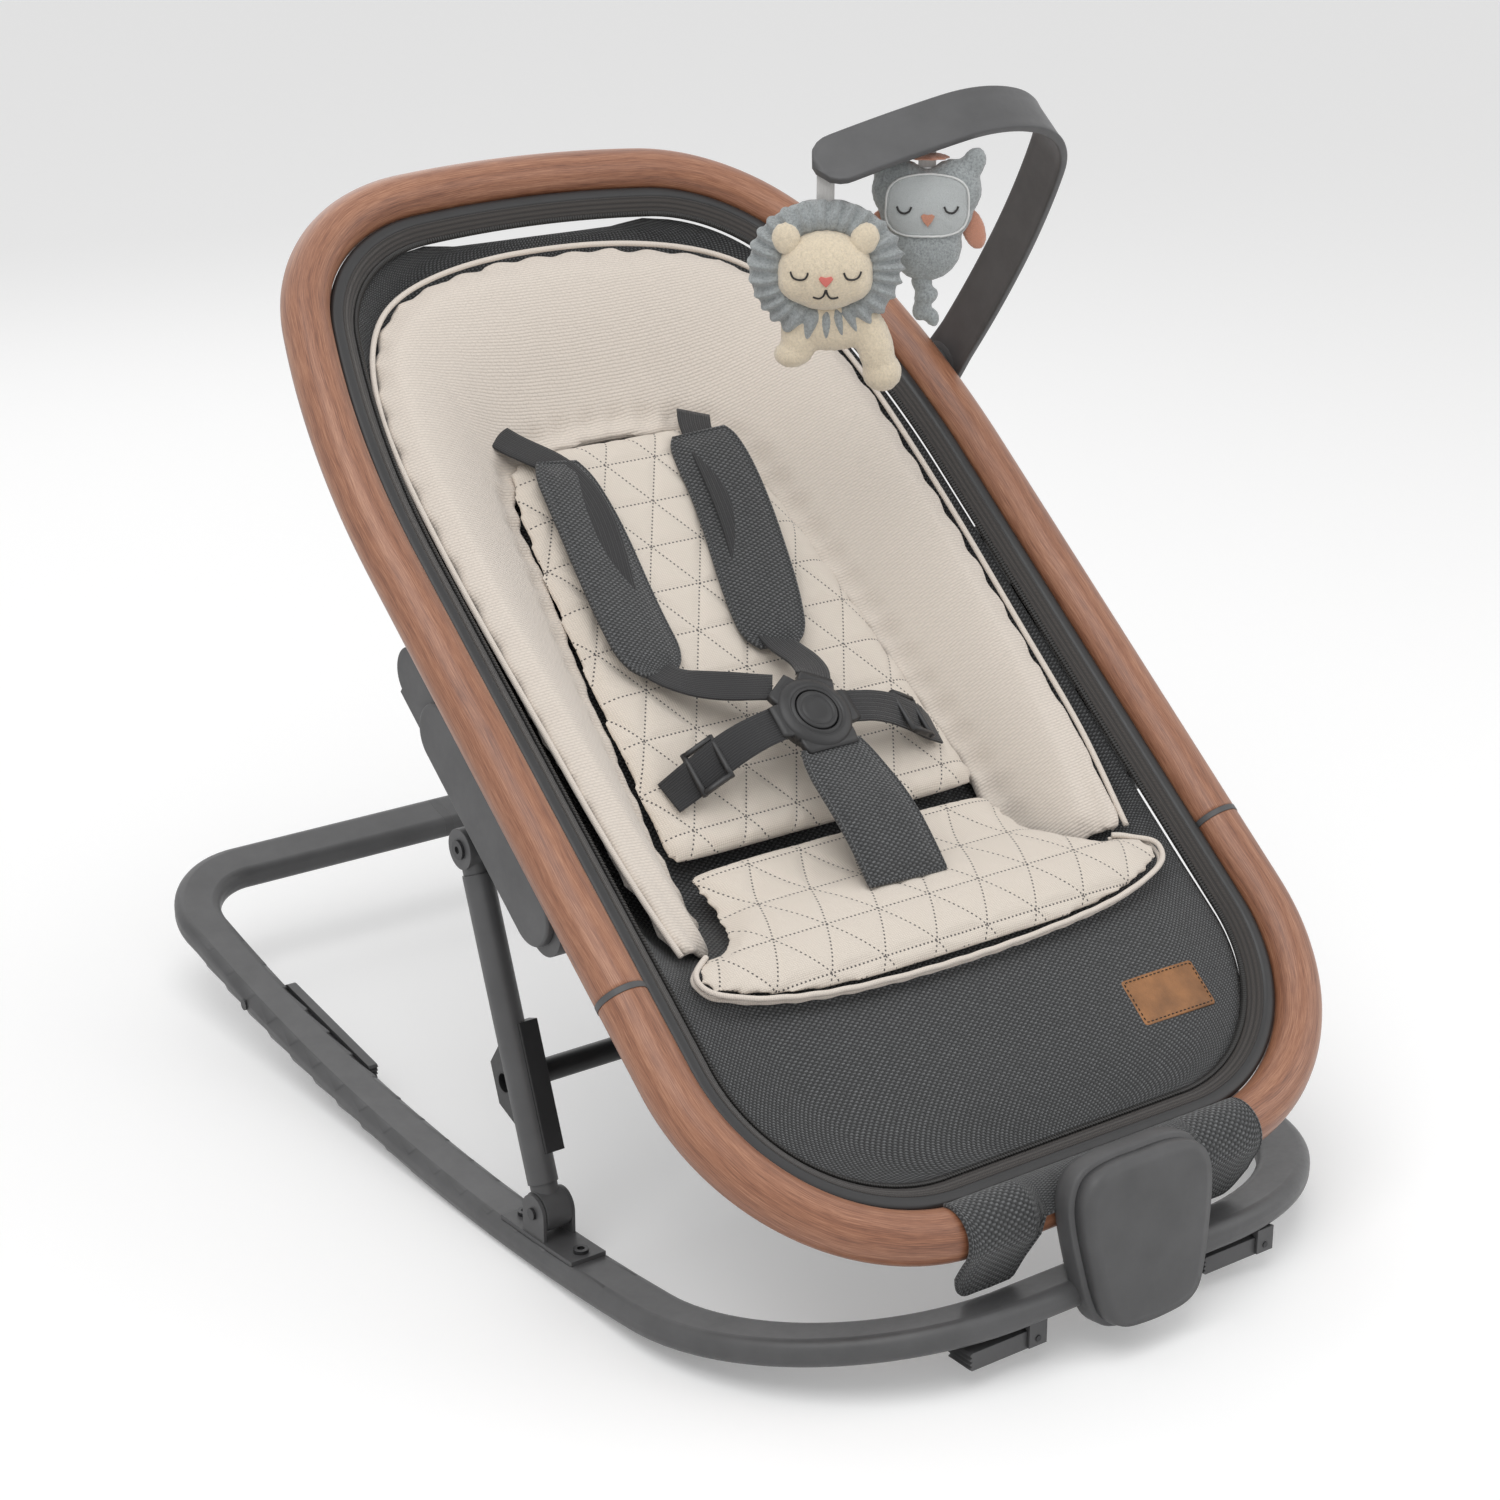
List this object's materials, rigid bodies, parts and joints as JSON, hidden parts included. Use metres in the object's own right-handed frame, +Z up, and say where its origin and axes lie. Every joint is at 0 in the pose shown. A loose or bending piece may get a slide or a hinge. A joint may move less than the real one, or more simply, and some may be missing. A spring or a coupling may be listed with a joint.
{
  "type": "bouncer seat",
  "caption": "Rocking bouncer seat with an oval wood-look frame, reclining fabric sling, newborn insert, harness, curved rocker base and a side toy bar.",
  "frame": {"origin": "on the floor under the middle of the object", "axes": "+X to the right as seen from the front, +Y back towards the head end, +Z up"},
  "size_m": [0.5353, 0.8579, 0.709],
  "materials": {
    "frame_paint": "satin powder coat",
    "grey_plastic": "fine matt moulding",
    "black_plastic": "satin moulding",
    "black_paint": "satin powder coat",
    "fastener_steel": "blackened steel",
    "walnut_foil": "wood-look foil",
    "zip_webbing": "herringbone tape",
    "charcoal_weave": "basket weave",
    "white_plastic": "satin",
    "tan_leather": "smooth",
    "black_webbing": "webbing",
    "cream_knit": "ribbed knit",
    "cream_quilt": "quilted weave",
    "cream_plush": "plush",
    "grey_plush": "plush",
    "pale_ribbon": "satin ribbon"
  },
  "bodies": {
    "base": {"rocker_tube_left": "frame_paint", "rocker_tube_right": "frame_paint", "rear_bar_joint": "grey_plastic", "hinge_bracket": "grey_plastic", "hinge_pin": "fastener_steel", "leg_brackets": "grey_plastic", "bracket_screws": "fastener_steel", "leg_foot_pins": "fastener_steel", "front_stopper_clips": "grey_plastic", "front_stopper_pins": "fastener_steel", "rear_stopper_pins": "fastener_steel"},
    "front_stopper_left": {"front_stopper_left": "grey_plastic"},
    "front_stopper_right": {"front_stopper_right": "grey_plastic"},
    "rear_stopper_left": {"rear_stopper_left": "grey_plastic"},
    "rear_stopper_right": {"rear_stopper_right": "grey_plastic"},
    "legs": {"leg_tube_left": "frame_paint", "leg_tube_right": "frame_paint", "leg_feet": "grey_plastic", "leg_eyes": "grey_plastic", "gussets": "black_plastic", "cross_tube": "black_paint", "gusset_screws": "fastener_steel", "hub_bolts": "fastener_steel"},
    "carriages": {"carriages": "grey_plastic", "side_cover_left": "grey_plastic", "side_cover_right": "grey_plastic", "cover_screws": "fastener_steel", "lock_plungers": "black_plastic"},
    "seat": {"ring_upper": "walnut_foil", "ring_lower": "walnut_foil", "ring_joints": "grey_plastic", "ring_spigots": "grey_plastic", "inner_trim": "grey_plastic", "zip_tape": "zip_webbing", "hinge_arm": "grey_plastic", "front_cover": "grey_plastic", "cover_ring": "white_plastic", "tracks": "grey_plastic", "track_screws": "fastener_steel", "seat_sling": "charcoal_weave", "front_flap": "charcoal_weave", "insert_bolster": "cream_knit", "insert_back_pad": "cream_quilt", "insert_seat_flap": "cream_quilt", "leather_label": "tan_leather", "shoulder_pads": "charcoal_weave", "shoulder_straps": "black_webbing", "waist_straps": "black_webbing", "buckle_body": "black_plastic", "buckle_spring": "fastener_steel", "crotch_pad": "charcoal_weave", "toy_bar_socket": "grey_plastic", "toy_bar_bolt": "fastener_steel"},
    "buckle_button": {"buckle_button": "black_plastic"},
    "toy_bar": {"toy_bar": "grey_plastic"},
    "lion": {"toy_lion": "cream_plush", "toy_lion_ribbon": "pale_ribbon"},
    "bird": {"toy_bird": "grey_plush", "toy_bird_ribbon": "pale_ribbon"}
  },
  "joints": [
    {"name": "seat_recline", "type": "hinge", "parent": "base", "child": "seat", "pos_m": [0, -0.398, 0.065], "axis": [-1, 0, 0], "range_deg": [0, 9.5]},
    {"name": "leg_swing", "type": "hinge", "parent": "base", "child": "legs", "pos_m": [0, -0.126, 0.038], "axis": [-1, 0, 0], "range_deg": [0, 19]},
    {"name": "carriage_slide", "type": "slide", "parent": "seat", "child": "carriages", "axis": [0, 0.7749, 0.632], "range_m": [0, 0.047]},
    {"name": "front_left_stopper_flip", "type": "hinge", "parent": "base", "child": "front_stopper_left", "pos_m": [-0.073, -0.398, 0.02115], "axis": [0, -1, 0], "range_deg": [0, 16]},
    {"name": "front_right_stopper_flip", "type": "hinge", "parent": "base", "child": "front_stopper_right", "pos_m": [0.119, -0.398, 0.02115], "axis": [0, -1, 0], "range_deg": [0, 16]},
    {"name": "rear_left_stopper_flip", "type": "hinge", "parent": "base", "child": "rear_stopper_left", "pos_m": [-0.2187, 0.257, 0.04262], "axis": [1, 0, 0], "range_deg": [0, 6]},
    {"name": "rear_right_stopper_flip", "type": "hinge", "parent": "base", "child": "rear_stopper_right", "pos_m": [0.2187, 0.257, 0.04262], "axis": [1, 0, 0], "range_deg": [0, 6]},
    {"name": "toy_bar_tilt", "type": "hinge", "parent": "seat", "child": "toy_bar", "pos_m": [0.262, 0.10297, 0.47669], "axis": [1, 0, 0], "range_deg": [-40, 25]},
    {"name": "lion_swing", "type": "hinge", "parent": "toy_bar", "child": "lion", "pos_m": [0.03492, -0.05151, 0.66171], "axis": [1, 0, 0], "range_deg": [-8, 8]},
    {"name": "bird_swing", "type": "hinge", "parent": "toy_bar", "child": "bird", "pos_m": [0.10578, -0.0674, 0.68119], "axis": [1, 0, 0], "range_deg": [-8, 8]},
    {"name": "buckle_press", "type": "slide", "parent": "seat", "child": "buckle_button", "axis": [0, 0.632, -0.7749], "range_m": [0, 0.0025], "stiffness_N_per_m": 400}
  ],
  "couplings": [
    {"joint": "leg_swing", "follows": "seat_recline", "ratio": 1.9792},
    {"joint": "carriage_slide", "follows": "seat_recline", "m_per_rad": 0.27889}
  ]
}
